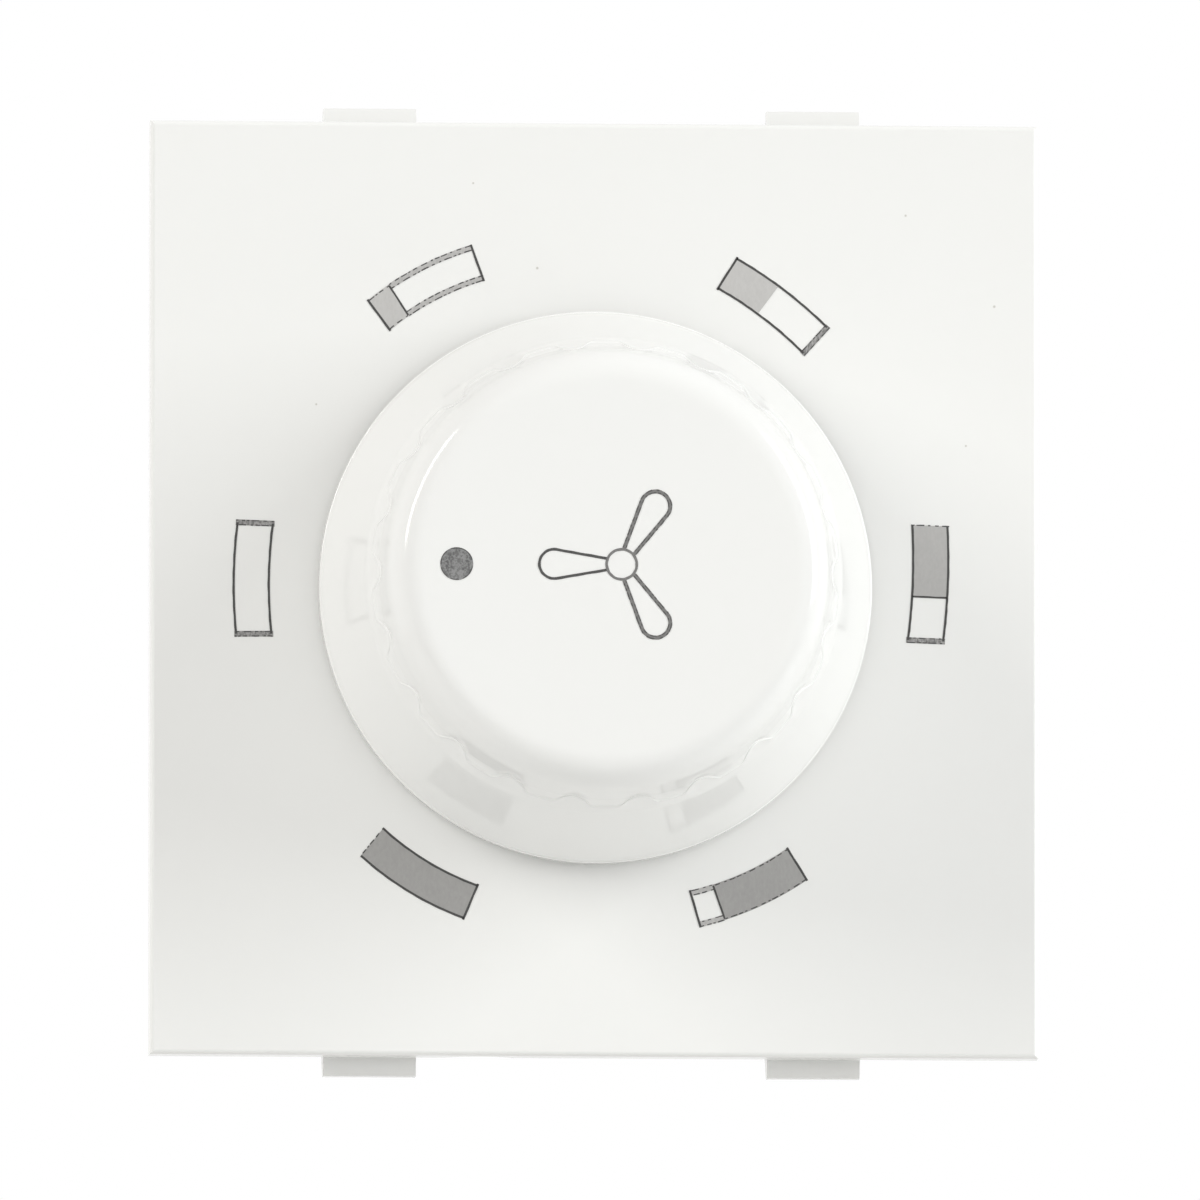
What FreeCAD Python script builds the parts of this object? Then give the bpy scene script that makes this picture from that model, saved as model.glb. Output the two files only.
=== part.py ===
import FreeCAD, Part
import math
import os

# Fan speed control switch: a two-module regulator that snaps into a wall frame.
# Millimetres. +Z is up, the front looks along -Y, +X is on the right seen from the front.
# The origin is on the knob's axis, in the plane of the front plate's back face.
# Angles are counted from +X towards +Z, so anticlockwise seen from the front.

V = FreeCAD.Vector

# General fits
running_gap = 0.05
loose_gap = 0.1
fin_gap = 0.2

# Front plate: the square face, its skirt and the latch arms, one moulding
module_pitch = 22.5
module_count = 2
plate_height = 47.4
plate_thickness = 1.5
plate_edge_round = 0.25
plate_overhang = 1.5
skirt_depth = 14.0
skirt_wall = 1.4
plate_rib_height = 1.2
plate_rib_width = 1.0

# Latch arms: rooted at the skirt's rear, with a nose just behind the face
latch_width = 4.7
latch_reach = 0.9
latch_arm_length = 8.7
latch_nose_length = 2.6
latch_nose_slope = 0.5
latch_nose_land = 0.7
latch_slot = 0.7
latch_front_gap = 0.3

# Notch for a screwdriver tip in the plate's lower edge
pry_notch_width = 3.4
pry_notch_depth = 0.8
pry_notch_height = 0.9
pry_notch_offset = -5.8

# Knob
knob_radius = 14.0
knob_height = 12.0
knob_lift = 0.4
knob_rim_height = 0.8
knob_skirt_taper = 2.05
knob_skirt_height = 7.8
grip_ledge = 0.23
grip_draft = 0.62
grip_flute_depth = 0.35
grip_flute_radius = 1.4
grip_flutes = 22
knob_top_round = 2.0
knob_top_steps = 4
knob_wall = 1.3
knob_skirt_wall = 2.4
knob_core_height = 5.5
knob_grip_wall = 1.2
knob_hub_wall = 1.55
knob_hub_lift = 1.0
knob_ribs = 6
knob_rib_width = 0.9
knob_rib_lift = 5.0
pointer_angle = 180.0

# Shaft and rotor
shaft_radius = 3.0
shaft_flat_depth = 1.5
shaft_flat_margin = 0.3
shaft_tip_gap = 0.6
shaft_tip_chamfer = 0.3
pivot_radius = 2.0
star_radius = 8.3
star_width = 3.2
star_notch_radius = 2.1
star_notch_depth = 1.0
speed_steps = 5
step_angle = 60.0
stop_lug_reach = 1.9
stop_lug_width = 1.2
stop_lug_half_angle = 12.0
stop_angle = 270.0
stop_play_angle = 0.5
carrier_radius = 6.0
carrier_thickness = 0.7
drive_half = 2.3

# Knob clip: a steel leaf between the shaft's flat and the knob's hub
clip_thickness = 0.4
clip_side_gap = 0.65
clip_length = 6.0

# Thrust washer
washer_thickness = 0.5
washer_width = 2.3

# Rotary switch body, as wide and deep as the rotor, spring and contacts in it need
switch_corner_round = 1.5
switch_wall = 1.4
switch_front_wall = 1.8
bush_wall = 1.75
base_thickness = 2.4
ear_reach = 2.4
ear_half_height = 3.4
foot_half = 1.2
foot_inset = 3.2

# Detent spring: a leaf across the top of the cavity, its nose in a notch of the star
detent_thickness = 0.3
detent_width = 2.4
detent_nose_radius = 1.9
detent_end_gap = 0.9
detent_post_width = 1.2
detent_post_height = 0.95

# Contacts
contact_edge_gap = 1.2
contact_head_half = 1.4
contact_head_thickness = 0.5
contact_tail_width = 1.0
contact_tail_thickness = 0.5
common_ring_outer = 5.6
common_ring_inner = 3.4
wiper_thickness = 0.4
wiper_arm_width = 3.2
wiper_tip_reach = 1.0
wiper_dimple_radius = 0.7
wiper_dimple_tip_radius = 0.4
wiper_dimple_height = 0.15
wiper_angle = 90.0

# Screws that hold the switch body
switch_screw_offset = 3.5
switch_screw_radius = 1.2
switch_screw_length = 7.6
switch_screw_head_radius = 2.3
switch_screw_head_height = 1.5
switch_screw_cross_reach = 1.2
switch_screw_cross_width = 0.5
switch_screw_cross_depth = 0.7
boss_radius = 2.7

# Circuit board
board_thickness = 1.6
board_gap = 0.2
board_from_base = 2.2
lead_hole_gap = 0.1
lead_stick_out = 0.5

# Rear housing
housing_gap = 0.1
housing_wall = 1.4
housing_back_wall = 1.6
screw_head_gap = 0.6
housing_lip = 4.8
housing_edge_round = 1.0
housing_back_chamfer = 0.5
corner_post = 2.6
snap_width = 5.0
snap_height = 1.0
snap_length = 2.0
snap_place = 10.0
snap_inset = 1.2
vent_count = 6
vent_width = 1.4
vent_length = 9.0
vent_pitch = 4.6
vent_front_gap = 2.2

# Terminals
terminal_side_gap = 3.05
terminal_floor_gap = 1.25
terminal_width = 7.5
terminal_height = 8.5
terminal_thickness = 1.2
terminal_stand = 8.0
terminal_bend = 0.6
terminal_tail_width = 2.0
collar_radius = 2.9
collar_length = 1.6
screw_radius = 1.7
screw_pitch = 0.6
screw_turns = 4.5
screw_length = 8.0
screw_head_radius = 3.0
screw_head_height = 2.0
screw_head_chamfer = 0.25
screw_slot_width = 0.9
screw_slot_depth = 1.0
clamp_side = 7.2
clamp_thickness = 1.0
clamp_corner = 0.5
clamp_left_over = 0.3
driver_hole_radius = 2.7
entry_width = 8.0
entry_margin = 0.7
bay_head_gap = 1.15
bay_wall = 1.0
bay_front_gap = 1.2

# Rows of parts on the board, from the top: their shares of its free height and the gap between
row_shares = [0.36, 0.27, 0.25, 0.12]
row_gap = 0.6
surge_row = 2
bleed_row = 3

# Capacitors: how far each stays from the housing's left wall, right wall and back
capacitor_margins = [(3.3, 3.3, 1.8), (5.8, 5.8, 2.6), (3.0, 18.6, 3.6)]
capacitor_lead_inset = 1.5
capacitor_chamfer = 0.6
capacitor_lead_radius = 0.4

# Resistors: length of the body, span between the leads and room left in its row
surge_resistor_length = 8.6
surge_resistor_span = 12.0
surge_resistor_room = 0.2
surge_resistor_margin = 3.5
bleed_resistor_length = 6.0
bleed_resistor_span = 9.4
bleed_resistor_room = 0.55
bleed_resistor_pitch = 12.0
resistor_lead_radius = 0.3

# Values worked out from the ones above
plate_width = module_pitch * module_count
skirt_x = plate_width / 2 - plate_overhang
skirt_z = plate_height / 2 - plate_overhang
inner_x = skirt_x - skirt_wall
inner_z = skirt_z - skirt_wall
face_y = -plate_thickness
knob_skirt_top_radius = knob_radius - knob_skirt_taper
grip_radius = knob_skirt_top_radius - grip_ledge
grip_top_radius = grip_radius - grip_draft
knob_core_radius = knob_radius - knob_skirt_wall
knob_upper_core_radius = grip_top_radius - knob_grip_wall
bore_radius = shaft_radius + running_gap
knob_hub_radius = bore_radius + knob_hub_wall
bush_radius = bore_radius + bush_wall
washer_radius = shaft_radius + loose_gap + washer_width
shaft_flat = shaft_radius - shaft_flat_depth
clip_top = shaft_flat + running_gap + clip_thickness
clip_width = 2 * (math.sqrt(bore_radius ** 2 - clip_top ** 2) - clip_side_gap)
star_front = switch_front_wall + running_gap * 2 + washer_thickness
star_back = star_front + star_width
stop_lug_radius = star_radius + stop_lug_reach
lug_back = star_back + stop_lug_width
carrier_back = lug_back + carrier_thickness
wiper_back = carrier_back + wiper_thickness
head_y = wiper_back + wiper_dimple_height + running_gap
switch_depth = head_y + contact_head_thickness
base_back = switch_depth + base_thickness
detent_z = star_radius - star_notch_depth + loose_gap + detent_nose_radius
cavity_half = detent_z + detent_thickness + running_gap + detent_post_height
switch_half = cavity_half + switch_wall
detent_length = 2 * (cavity_half - detent_end_gap)
foot_place = switch_half - foot_inset
switch_screw_place = switch_half + switch_screw_offset
contact_circle_radius = cavity_half - contact_edge_gap - contact_head_half
wiper_reach = contact_circle_radius + wiper_tip_reach
board_front = base_back + board_from_base
board_back = board_front + board_thickness
terminal_face = board_back + terminal_stand
clamp_face = terminal_face + screw_pitch * screw_turns + clamp_left_over
head_face = clamp_face + clamp_thickness
cavity_back = head_face + screw_head_height + screw_head_gap
housing_back = cavity_back + housing_back_wall
housing_front = skirt_depth - housing_lip
housing_x = inner_x - housing_gap
housing_z = inner_z - housing_gap
cavity_x = housing_x - housing_wall
cavity_z = housing_z - housing_wall
terminal_place = cavity_x - terminal_side_gap - terminal_width / 2
terminal_drop = cavity_z - terminal_floor_gap - terminal_height / 2
bay_ceiling_drop = terminal_drop - terminal_height / 2 - bay_head_gap
bay_top = -bay_ceiling_drop + bay_wall
row_room = cavity_z - bay_top - row_gap * (len(row_shares) + 1)


def block(x0, x1, y0, y1, z0, z1):
    """A box between two corners."""
    return Part.makeBox(x1 - x0, y1 - y0, z1 - z0, V(x0, y0, z0))


def rod(radius, y0, y1, x=0.0, z=0.0):
    """A cylinder along Y."""
    return Part.makeCylinder(radius, y1 - y0, V(x, y0, z), V(0, 1, 0))


def cone(radius0, radius1, y0, y1, x=0.0, z=0.0):
    """A cone frustum along Y."""
    return Part.makeCone(radius0, radius1, y1 - y0, V(x, y0, z), V(0, 1, 0))


def turned(profile):
    """A solid of revolution about Y from (radius, y) corners."""
    corners = [V(radius, y, 0) for radius, y in profile]
    outline = Part.makePolygon(corners + corners[:1])
    return Part.Face(outline).revolve(V(0, 0, 0), V(0, 1, 0), 360)


def prism(corners, y0, y1):
    """A prism along Y from (x, z) corners."""
    points = [V(x, y0, z) for x, z in corners]
    outline = Part.makePolygon(points + points[:1])
    return Part.Face(outline).extrude(V(0, y1 - y0, 0))


def spun(shape, angle):
    """The shape turned about the knob's axis, anticlockwise seen from the front."""
    copy = shape.copy()
    copy.rotate(V(0, 0, 0), V(0, -1, 0), angle)
    return copy


def at_angle(radius, angle):
    """The (x, z) place at a radius and angle from the knob's axis."""
    return radius * math.cos(math.radians(angle)), radius * math.sin(math.radians(angle))


def sector(radius, middle, half_angle, y0, y1):
    """A wedge about the knob's axis."""
    corners = [(0.0, 0.0)]
    corners += [at_angle(radius, middle + side * half_angle) for side in (-1, 1)]
    return prism(corners, y0, y1)


def wire(radius, start, end):
    """A fine straight wire, six-sided, from one point to another."""
    way = end - start
    side = V(0, 0, 1)
    across = way.cross(side).normalize()
    corners = []
    for i in range(6):
        turn = math.radians(60 * i)
        corners.append(start + across * (radius * math.cos(turn)) + side * (radius * math.sin(turn)))
    outline = Part.makePolygon(corners + corners[:1])
    return Part.Face(outline).extrude(way)


def fused(shapes):
    """One clean solid from several that touch or overlap."""
    first = shapes[0]
    return first.fuse(shapes[1:]).removeSplitter()


def edges_where(shape, test):
    """The edges whose middle point passes a test."""
    picked = []
    for edge in shape.Edges:
        first, last = edge.ParameterRange
        if test(edge, edge.valueAt((first + last) / 2)):
            picked.append(edge)
    return picked


def near(value, target):
    """Whether two lengths are the same."""
    return abs(value - target) < 1e-4


def save(name, shape):
    """Writes one piece and says what it measures."""
    box = shape.BoundBox
    size = "%.1f x %.1f x %.1f" % (box.XLength, box.YLength, box.ZLength)
    print(name, len(shape.Solids), "solid", size, "volume %.1f" % shape.Volume, shape.isValid())
    shape.exportStep("parts/" + name + ".step")


def latch_arm(x, side):
    """A latch arm with its nose, standing out of the skirt's top or bottom wall."""
    root = latch_front_gap + latch_arm_length
    start = latch_front_gap
    reach = plate_height / 2 + latch_reach
    profile = [
        (root, skirt_z - skirt_wall),
        (start, skirt_z - skirt_wall),
        (start, skirt_z),
        (start + latch_nose_slope, reach),
        (start + latch_nose_slope + latch_nose_land, reach),
        (start + latch_nose_length + latch_nose_slope, skirt_z),
        (root, skirt_z),
    ]
    points = [V(x - latch_width / 2, y, side * z) for y, z in profile]
    outline = Part.makePolygon(points + points[:1])
    return Part.Face(outline).extrude(V(latch_width, 0, 0))


def latch_slots(x, side):
    """The slots beside and in front of a latch arm."""
    z0, z1 = sorted((side * (inner_z - fin_gap), side * (skirt_z + fin_gap)))
    half = latch_width / 2 + latch_slot
    return block(x - half, x + half, 0, latch_front_gap + latch_arm_length, z0, z1)


def make_front_plate():
    half_x = plate_width / 2
    half_z = plate_height / 2
    face = block(-half_x, half_x, face_y, 0, -half_z, half_z)
    rim = edges_where(face, lambda edge, middle: near(middle.y, face_y))
    face = face.makeFillet(plate_edge_round, rim)
    skirt = block(-skirt_x, skirt_x, 0, skirt_depth, -skirt_z, skirt_z)
    skirt = skirt.cut(block(-inner_x, inner_x, 0, skirt_depth, -inner_z, inner_z))
    places = [(x * module_pitch / 2, side) for x in (-1, 1) for side in (-1, 1)]
    skirt = skirt.cut([latch_slots(x, side) for x, side in places])
    pieces = [face, skirt] + [latch_arm(x, side) for x, side in places]
    pieces += [rod(boss_radius, 0, switch_depth, x * switch_screw_place) for x in (-1, 1)]
    rib_start = switch_half + loose_gap
    for side in (-1, 1):
        x0, x1 = sorted((side * (switch_screw_place + boss_radius / 2), side * inner_x))
        pieces.append(block(x0, x1, 0, switch_depth, -plate_rib_width / 2, plate_rib_width / 2))
        z0, z1 = sorted((side * rib_start, side * inner_z))
        pieces.append(block(-plate_rib_width / 2, plate_rib_width / 2, 0, plate_rib_height, z0, z1))
    body = fused(pieces)
    cuts = [rod(bush_radius + loose_gap, face_y, plate_rib_height)]
    hole = switch_screw_radius + running_gap
    hole_start = switch_depth - switch_screw_length
    cuts += [rod(hole, hole_start, switch_depth, x * switch_screw_place) for x in (-1, 1)]
    window_y0 = housing_front + snap_inset - loose_gap
    window_y1 = window_y0 + snap_length + loose_gap * 2
    window_half = snap_width / 2 + loose_gap * 2
    for x in (-1, 1):
        x0, x1 = sorted((x * (inner_x - fin_gap), x * (skirt_x + fin_gap)))
        for z in (-snap_place, snap_place):
            cuts.append(block(x0, x1, window_y0, window_y1, z - window_half, z + window_half))
    cuts.append(pry_notch())
    return body.cut(cuts)


def pry_notch():
    """A shallow curved notch in the back of the plate's lower edge."""
    radius = (pry_notch_width ** 2 / 4 + pry_notch_depth ** 2) / (2 * pry_notch_depth)
    bottom = -plate_height / 2
    middle_y = radius - pry_notch_depth
    start = V(pry_notch_offset, middle_y, bottom - fin_gap)
    notch = Part.makeCylinder(radius, pry_notch_height + fin_gap, start, V(0, 0, 1))
    keep = block(
        pry_notch_offset - radius,
        pry_notch_offset + radius,
        face_y,
        0,
        bottom - fin_gap,
        bottom + plate_overhang,
    )
    return notch.common(keep)


def lifted(height):
    """The y of a height above the front plate's face."""
    return face_y - height


def top_round():
    """The (radius, y) corners of the knob's rounded top edge."""
    lean = math.degrees(math.atan(grip_draft / (knob_height - knob_skirt_height)))
    middle_radius = grip_top_radius - knob_top_round
    corners = []
    for step in range(knob_top_steps + 1):
        turn = math.radians(lean + (90 - lean) * step / knob_top_steps)
        radius = middle_radius + knob_top_round * math.cos(turn)
        height = knob_height - knob_top_round * (1 - math.sin(turn))
        corners.append((radius, lifted(height)))
    return corners


def make_knob():
    outer = [
        (0.0, lifted(knob_lift)),
        (knob_radius, lifted(knob_lift)),
        (knob_radius, lifted(knob_lift + knob_rim_height)),
        (knob_skirt_top_radius, lifted(knob_skirt_height)),
        (grip_radius, lifted(knob_skirt_height)),
    ]
    outer += top_round()
    outer.append((0.0, lifted(knob_height)))
    body = turned(outer)
    flute_centre = grip_radius - grip_flute_depth + grip_flute_radius
    flute = rod(grip_flute_radius, lifted(knob_height), lifted(knob_skirt_height), flute_centre)
    turns = [pointer_angle + i * 360 / grip_flutes for i in range(grip_flutes)]
    body = body.cut([spun(flute, turn) for turn in turns])
    inner = [
        (0.0, lifted(0)),
        (knob_core_radius, lifted(0)),
        (knob_core_radius, lifted(knob_core_height)),
        (knob_upper_core_radius, lifted(knob_core_height)),
        (knob_upper_core_radius, lifted(knob_height - knob_wall)),
        (0.0, lifted(knob_height - knob_wall)),
    ]
    hollow = turned(inner)
    body = body.cut(hollow)
    hub = rod(knob_hub_radius, lifted(knob_height - knob_wall / 2), lifted(knob_hub_lift))
    rib = block(
        bore_radius,
        knob_radius,
        lifted(knob_height - knob_wall / 2),
        lifted(knob_rib_lift),
        -knob_rib_width / 2,
        knob_rib_width / 2,
    )
    ribs = [spun(rib, pointer_angle + i * 360 / knob_ribs).common(hollow) for i in range(knob_ribs)]
    body = fused([body, hub] + ribs)
    return body.cut(hub_bore())


def shaft_tip():
    """The y of the shaft's front end."""
    return lifted(knob_height - knob_wall - shaft_tip_gap)


def hub_bore():
    """The D bore of the knob's hub, with room for the clip along the flat."""
    depth = lifted(knob_height - knob_wall)
    round_bore = rod(bore_radius, depth, lifted(0))
    half = clip_width / 2 + loose_gap
    flat = shaft_flat + running_gap
    keep = block(-bore_radius, bore_radius, depth, lifted(0), -bore_radius, flat)
    pocket = block(-half, half, depth, lifted(0), 0, clip_top + running_gap)
    return round_bore.common(fused([keep, pocket]))


def make_knob_clip():
    """A spring leaf that presses on the shaft's flat."""
    y0 = shaft_tip() + shaft_tip_gap
    half = clip_width / 2
    return block(-half, half, y0, y0 + clip_length, clip_top - clip_thickness, clip_top)


def make_rotor():
    tip = shaft_tip()
    shaft = rod(shaft_radius, tip, star_front)
    flat_end = lifted(knob_hub_lift) + shaft_flat_margin
    flat_cut = block(-shaft_radius, shaft_radius, tip, flat_end, shaft_flat, shaft_radius)
    shaft = shaft.cut(flat_cut)
    tip_edge = edges_where(shaft, lambda edge, middle: near(middle.y, tip))
    shaft = shaft.makeChamfer(shaft_tip_chamfer, tip_edge)
    star = rod(star_radius, star_front, star_back)
    notch_centre = star_radius - star_notch_depth + star_notch_radius
    notch = rod(star_notch_radius, star_front, star_back, notch_centre)
    notches = [spun(notch, 90 + i * step_angle) for i in range(speed_steps + 1)]
    star = star.cut(notches)
    lug_angle = stop_angle - stop_lug_half_angle - stop_half_angle() - stop_play_angle
    lug = sector(stop_lug_radius * 2, lug_angle, stop_lug_half_angle, star_back, lug_back)
    lug = lug.common(rod(stop_lug_radius, star_back, lug_back))
    hub = rod(carrier_radius, star_back, carrier_back)
    pivot = rod(pivot_radius, carrier_back, base_back - fin_gap)
    drive = block(-drive_half, drive_half, carrier_back, wiper_back, -drive_half, drive_half)
    return fused([shaft, star, lug, hub, pivot, drive])


def stop_half_angle():
    """Half the stop block's width, from the turn that it leaves free."""
    free_turn = speed_steps * step_angle
    return (360 - free_turn) / 2 - stop_lug_half_angle - stop_play_angle


def common_circle():
    """The radius of the middle of the common ring."""
    return (common_ring_inner + common_ring_outer) / 2


def make_wiper():
    """The bronze contact bridge: a ring round the pivot and one spring arm."""
    ring = rod(common_ring_outer, carrier_back, wiper_back)
    arm = block(0, wiper_reach, carrier_back, wiper_back, -wiper_arm_width / 2, wiper_arm_width / 2)
    tip = wiper_dimple_tip_radius
    dimple_back = wiper_back + wiper_dimple_height
    outer_x = contact_circle_radius
    outer_dimple = cone(wiper_dimple_radius, tip, wiper_back, dimple_back, outer_x)
    inner_dimple = cone(wiper_dimple_radius, tip, wiper_back, dimple_back, -common_circle())
    body = fused([ring, arm, outer_dimple, inner_dimple])
    half = drive_half + running_gap
    return spun(body.cut(block(-half, half, carrier_back, wiper_back, -half, half)), wiper_angle)


def make_thrust_washer():
    y0 = switch_front_wall + running_gap
    washer = rod(washer_radius, y0, y0 + washer_thickness)
    return washer.cut(rod(shaft_radius + loose_gap, y0, y0 + washer_thickness))


def switch_outline(y0, y1):
    """A square of the switch body's outline with rounded corners."""
    half = switch_half
    body = block(-half, half, y0, y1, -half, half)
    upright = edges_where(
        body, lambda edge, middle: near(abs(middle.x), half) and near(abs(middle.z), half)
    )
    return body.makeFillet(switch_corner_round, upright)


def make_switch_cover():
    body = switch_outline(0, switch_depth)
    bush = rod(bush_radius, face_y, switch_front_wall)
    cavity = block(
        -cavity_half, cavity_half, switch_front_wall, switch_depth, -cavity_half, cavity_half
    )
    body = fused([body.cut(cavity), bush])
    stop = sector(switch_half * 2, stop_angle, stop_half_angle(), switch_front_wall, lug_back + fin_gap)
    stop = stop.common(cavity)
    stop = stop.cut(rod(star_radius + fin_gap * 2, switch_front_wall, switch_depth))
    post_x1 = detent_length / 2
    post_x0 = post_x1 - detent_post_width
    posts = []
    for side in (-1, 1):
        x0, x1 = sorted((side * post_x0, side * cavity_half))
        upper_z = detent_z + detent_thickness + running_gap
        posts.append(block(x0, x1, switch_front_wall, star_back, upper_z, cavity_half))
        lower_z = detent_z - running_gap
        posts.append(
            block(x0, x1, switch_front_wall, star_back, lower_z - detent_post_width, lower_z)
        )
    body = fused([body, stop] + posts)
    return body.cut(rod(bore_radius, face_y, switch_front_wall))


def make_detent_spring():
    """A flat leaf with a round nose pressed down in its middle."""
    y0 = star_front + (star_width - detent_width) / 2
    y1 = y0 + detent_width
    z0 = detent_z
    z1 = z0 + detent_thickness
    bend = detent_nose_radius - detent_thickness
    leaf = block(-detent_length / 2, detent_length / 2, y0, y1, z0, z1)
    leaf = leaf.cut(block(-bend, bend, y0, y1, z0, z1))
    ring = rod(detent_nose_radius, y0, y1, 0, z1).cut(rod(bend, y0, y1, 0, z1))
    nose = ring.common(
        block(-detent_nose_radius, detent_nose_radius, y0, y1, z1 - detent_nose_radius, z1)
    )
    return fused([leaf, nose])


def contact_places():
    """The angle of each fixed contact, one step apart in the order of the speeds."""
    return [wiper_angle - (i + 1) * step_angle for i in range(speed_steps)]


def contact_tail(x, z, y0, y1, gap=0.0):
    """The flat tail of a contact, or the slot that it goes through."""
    half_x = contact_tail_width / 2 + gap
    half_z = contact_tail_thickness / 2 + gap
    return block(x - half_x, x + half_x, y0, y1, z - half_z, z + half_z)


def make_speed_contact(angle):
    """A contact: a square head and the flat tail that is soldered in the board."""
    x, z = at_angle(contact_circle_radius, angle)
    tail_end = board_back - loose_gap
    half = contact_head_half
    head = block(x - half, x + half, head_y, switch_depth, z - half, z + half)
    return fused([head, contact_tail(x, z, switch_depth, tail_end)])


def make_common_contact():
    x, z = at_angle(common_circle(), wiper_angle)
    ring = rod(common_ring_outer, head_y, switch_depth)
    ring = ring.cut(rod(common_ring_inner, head_y, switch_depth))
    return fused([ring, contact_tail(x, z, switch_depth, board_back - loose_gap)])


def make_switch_base():
    body = switch_outline(switch_depth, base_back)
    ear_x = switch_screw_place + ear_reach
    ears = block(-ear_x, ear_x, switch_depth, base_back, -ear_half_height, ear_half_height)
    ends = edges_where(ears, lambda edge, middle: near(abs(middle.x), ear_x) and near(
        abs(middle.z), ear_half_height))
    ears = ears.makeFillet(switch_corner_round, ends)
    feet = []
    for x in (-foot_place, foot_place):
        for z in (-foot_place, foot_place):
            feet.append(
                block(
                    x - foot_half, x + foot_half, base_back, board_front, z - foot_half, z + foot_half
                )
            )
    body = fused([body, ears] + feet)
    cuts = [rod(pivot_radius + running_gap, switch_depth, base_back)]
    x, z = at_angle(common_circle(), wiper_angle)
    cuts.append(contact_tail(x, z, switch_depth, base_back, running_gap))
    for angle in contact_places():
        x, z = at_angle(contact_circle_radius, angle)
        cuts.append(contact_tail(x, z, switch_depth, base_back, running_gap))
    screw_hole = switch_screw_radius + fin_gap
    for side in (-1, 1):
        cuts.append(rod(screw_hole, switch_depth, base_back, side * switch_screw_place))
    return body.cut(cuts)


def make_switch_screws():
    """Two pan-head tapping screws."""
    screws = []
    head_back = base_back + switch_screw_head_height
    for side in (-1, 1):
        x = side * switch_screw_place
        head = rod(switch_screw_head_radius, base_back, head_back, x)
        shank = rod(switch_screw_radius, base_back - switch_screw_length, base_back, x)
        recess_y = head_back - switch_screw_cross_depth
        reach = switch_screw_cross_reach
        half = switch_screw_cross_width / 2
        cross = [
            block(x - reach, x + reach, recess_y, head_back, -half, half),
            block(x - half, x + half, recess_y, head_back, -reach, reach),
        ]
        screws.append(fused([head, shank]).cut(cross))
    return Part.makeCompound(screws)


def row(index):
    """The z of the middle of a row on the board, and the row's height."""
    top = cavity_z - row_gap * (index + 1) - row_room * sum(row_shares[:index])
    height = row_room * row_shares[index]
    return top - height / 2, height


def capacitor_ends(index):
    """The x of a capacitor's two ends."""
    left, right = capacitor_margins[index][:2]
    return left - cavity_x, cavity_x - right


def capacitor_leads(index):
    """(x, z) of a capacitor's two leads."""
    left, right = capacitor_ends(index)
    middle = row(index)[0]
    return [(left + capacitor_lead_inset, middle), (right - capacitor_lead_inset, middle)]


def make_capacitor(index):
    x0, x1 = capacitor_ends(index)
    middle, height = row(index)
    back = cavity_back - capacitor_margins[index][2]
    body = block(x0, x1, board_back, back, middle - height / 2, middle + height / 2)
    outer_edges = edges_where(body, lambda edge, mid: mid.y > board_back + capacitor_chamfer)
    body = body.makeChamfer(capacitor_chamfer, outer_edges)
    leads = [
        wire(
            capacitor_lead_radius,
            V(x, board_front - lead_stick_out, z),
            V(x, board_back, z),
        )
        for x, z in capacitor_leads(index)
    ]
    return fused([body] + leads)


def surge_resistor_places():
    """(x, z) of the surge resistors, one above the other beside the small capacitor."""
    middle, height = row(surge_row)
    x = cavity_x - surge_resistor_margin - surge_resistor_span / 2
    return [(x, middle + side * height / 4) for side in (1, -1)]


def bleed_resistor_places():
    """(x, z) of the bleed resistors, end to end in the last row."""
    middle = row(bleed_row)[0]
    return [(i * bleed_resistor_pitch, middle) for i in (-1, 0, 1)]


def resistor_leads():
    """(x, z) of every resistor's two leads."""
    spans = [(place, surge_resistor_span) for place in surge_resistor_places()]
    spans += [(place, bleed_resistor_span) for place in bleed_resistor_places()]
    return [(x + side * span / 2, z) for (x, z), span in spans for side in (-1, 1)]


def with_leads(body, length, span, place, axis_y):
    """The body with two wires that leave its ends and go down into the board."""
    x, z = place
    pieces = [body]
    for side in (-1, 1):
        corner = V(x + side * span / 2, axis_y, z)
        beyond = corner + V(side * resistor_lead_radius, 0, 0)
        pieces.append(wire(resistor_lead_radius, V(x + side * length / 2, axis_y, z), beyond))
        end = V(corner.x, board_front - lead_stick_out, z)
        pieces.append(wire(resistor_lead_radius, end, corner))
    return fused(pieces)


def make_surge_resistor(place):
    """A square ceramic body."""
    x, z = place
    side = row(surge_row)[1] / 2 - surge_resistor_room
    length = surge_resistor_length
    y0 = board_back + loose_gap
    body = block(x - length / 2, x + length / 2, y0, y0 + side, z - side / 2, z + side / 2)
    return with_leads(body, length, surge_resistor_span, place, y0 + side / 2)


def make_bleed_resistor(place):
    """A round body."""
    x, z = place
    radius = row(bleed_row)[1] / 2 - bleed_resistor_room
    length = bleed_resistor_length
    axis_y = board_back + radius + loose_gap
    body = Part.makeCylinder(radius, length, V(x - length / 2, axis_y, z), V(1, 0, 0))
    return with_leads(body, length, bleed_resistor_span, place, axis_y)


def make_circuit_board():
    half_x = cavity_x - board_gap
    half_z = cavity_z - board_gap
    board = block(-half_x, half_x, board_front, board_back, -half_z, half_z)
    holes = []
    x, z = at_angle(common_circle(), wiper_angle)
    holes.append(contact_tail(x, z, board_front, board_back, lead_hole_gap))
    for angle in contact_places():
        x, z = at_angle(contact_circle_radius, angle)
        holes.append(contact_tail(x, z, board_front, board_back, lead_hole_gap))
    leads = [(resistor_lead_radius, place) for place in resistor_leads()]
    for index in range(len(capacitor_margins)):
        leads += [(capacitor_lead_radius, place) for place in capacitor_leads(index)]
    for radius, (x, z) in leads:
        holes.append(wire(radius + lead_hole_gap, V(x, board_front, z), V(x, board_back, z)))
    for side in (-1, 1):
        holes.append(terminal_tail(side, lead_hole_gap))
    return board.cut(holes)


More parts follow.
